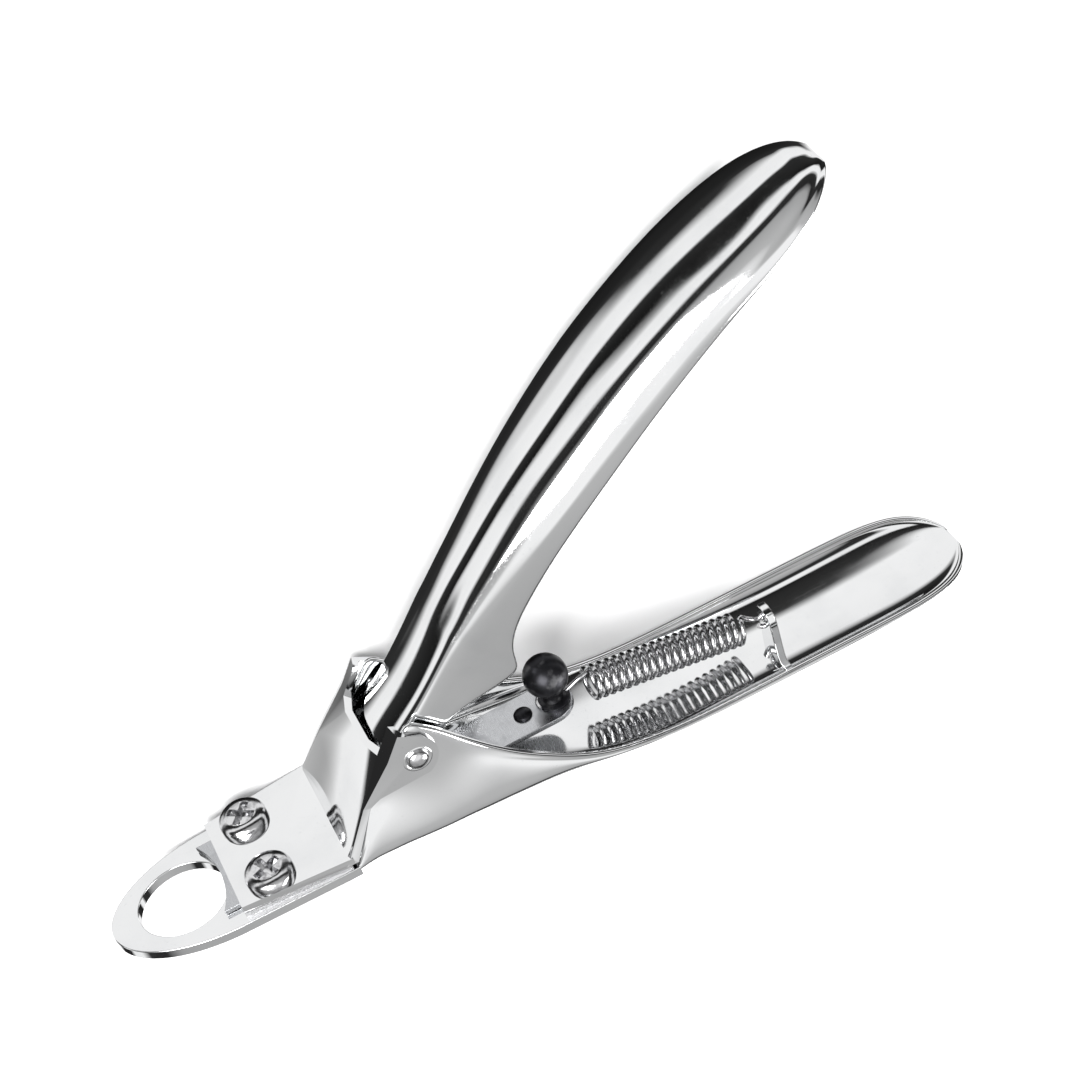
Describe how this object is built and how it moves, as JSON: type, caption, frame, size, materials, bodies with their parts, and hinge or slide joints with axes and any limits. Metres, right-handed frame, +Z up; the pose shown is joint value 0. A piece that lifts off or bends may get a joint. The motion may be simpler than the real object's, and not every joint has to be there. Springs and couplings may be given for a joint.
{
  "type": "guillotine nail clipper",
  "caption": "Chromed pliers-form guillotine clipper: a squeezed upper handle drives a flat blade across an oval hole in the flat nose, and a coil spring reopens it.",
  "frame": {"origin": "middle of the footprint of the clipper lying on its far side, on the surface it lies on", "axes": "+X from the cutting nose towards the handle ends, +Y from the lower handle towards the open upper handle, +Z up through the thickness, along the pivot rivet"},
  "size_m": [0.1269, 0.0756, 0.0192],
  "materials": {
    "chromed_sheet": "polished chrome plate on pressed steel sheet",
    "guide_steel": "bright ground steel",
    "blade_steel": "ground hardened steel",
    "dark_steel": "blackened steel, satin",
    "screw_plating": "bright plated steel",
    "spring_wire": "drawn bright spring wire"
  },
  "bodies": {
    "frame": {"lower_handle": "chromed_sheet", "head_cover": "chromed_sheet", "guide_rail_near": "guide_steel", "guide_rail_far": "guide_steel", "cover_screw_near": "screw_plating", "cover_screw_far": "screw_plating", "pivot_rivet": "screw_plating", "return_spring": "spring_wire"},
    "lever": {"upper_handle": "chromed_sheet", "pusher": "guide_steel"},
    "blade": {"blade": "blade_steel", "spring_stud": "dark_steel", "stop_rivet": "dark_steel"}
  },
  "joints": [
    {"name": "handle_pivot", "type": "hinge", "parent": "frame", "child": "lever", "pos_m": [-0.01855, -0.0164, 0.00958], "axis": [0, 0, -1], "range_deg": [0, 47], "stiffness_Nm_per_rad": 0.08, "springref_deg": -14.32},
    {"name": "blade_slide", "type": "slide", "parent": "frame", "child": "blade", "axis": [-1, 0, 0], "range_m": [0, 0.00961], "deforming": ["return_spring"]}
  ],
  "couplings": [
    {"joint": "blade_slide", "follows": "handle_pivot", "m_per_rad": 0.011471}
  ]
}
